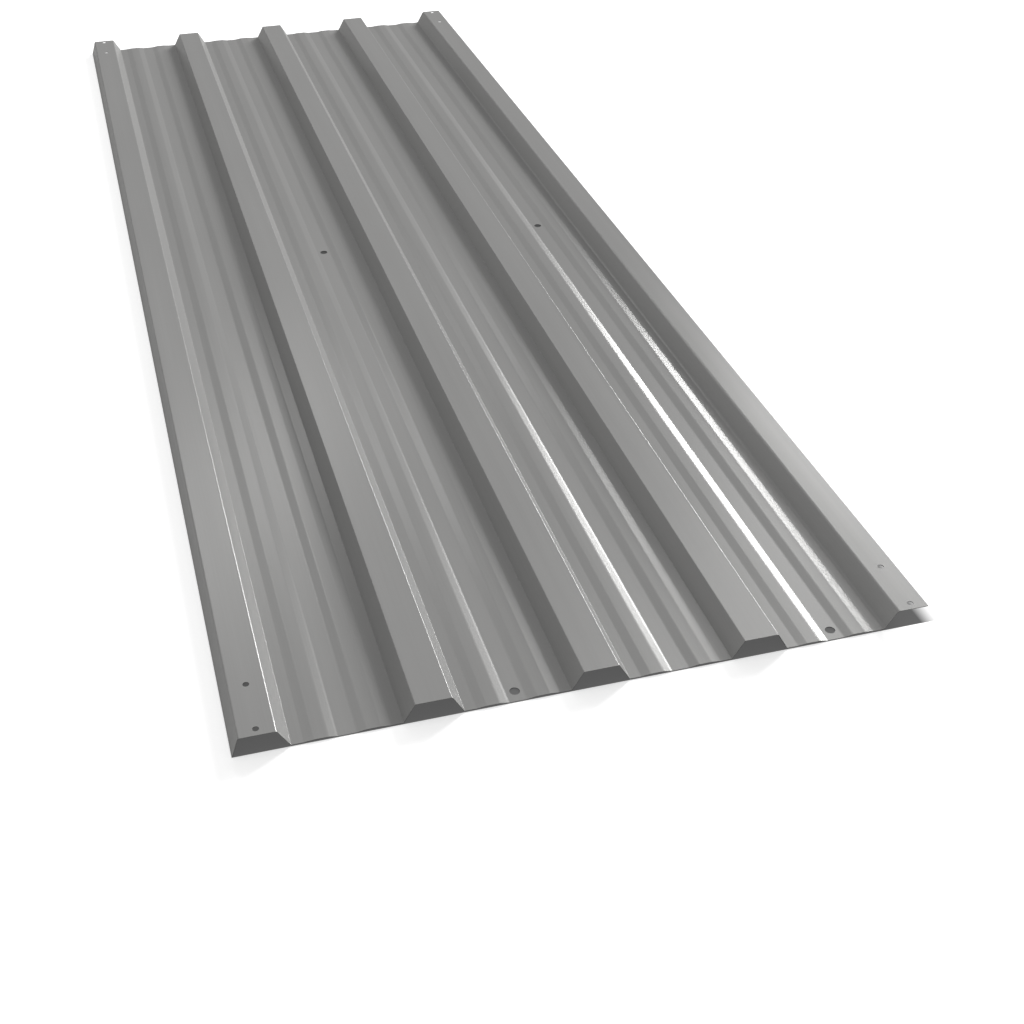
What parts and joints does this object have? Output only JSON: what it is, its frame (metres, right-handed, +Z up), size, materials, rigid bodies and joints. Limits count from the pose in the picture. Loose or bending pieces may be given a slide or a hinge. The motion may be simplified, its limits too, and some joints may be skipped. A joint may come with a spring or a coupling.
{
  "type": "corrugated metal sheet",
  "caption": "Thin roll-formed steel roofing sheet with flat-topped ribs, swaged valleys, a down-turned leg, a lap flange and punched fixing holes.",
  "frame": {"origin": "centre of the sheet's footprint, on the plane that its valleys rest on", "axes": "+X across the ribs from the down-turned leg to the flat flange, +Y along the ribs away from the end with the valley holes, +Z up"},
  "size_m": [0.45, 1.29, 0.0137],
  "materials": {
    "coated_steel": "smooth satin grey coating on galvanised steel"
  },
  "bodies": {
    "root": {"corrugated_sheet": "coated_steel"}
  },
  "joints": []
}
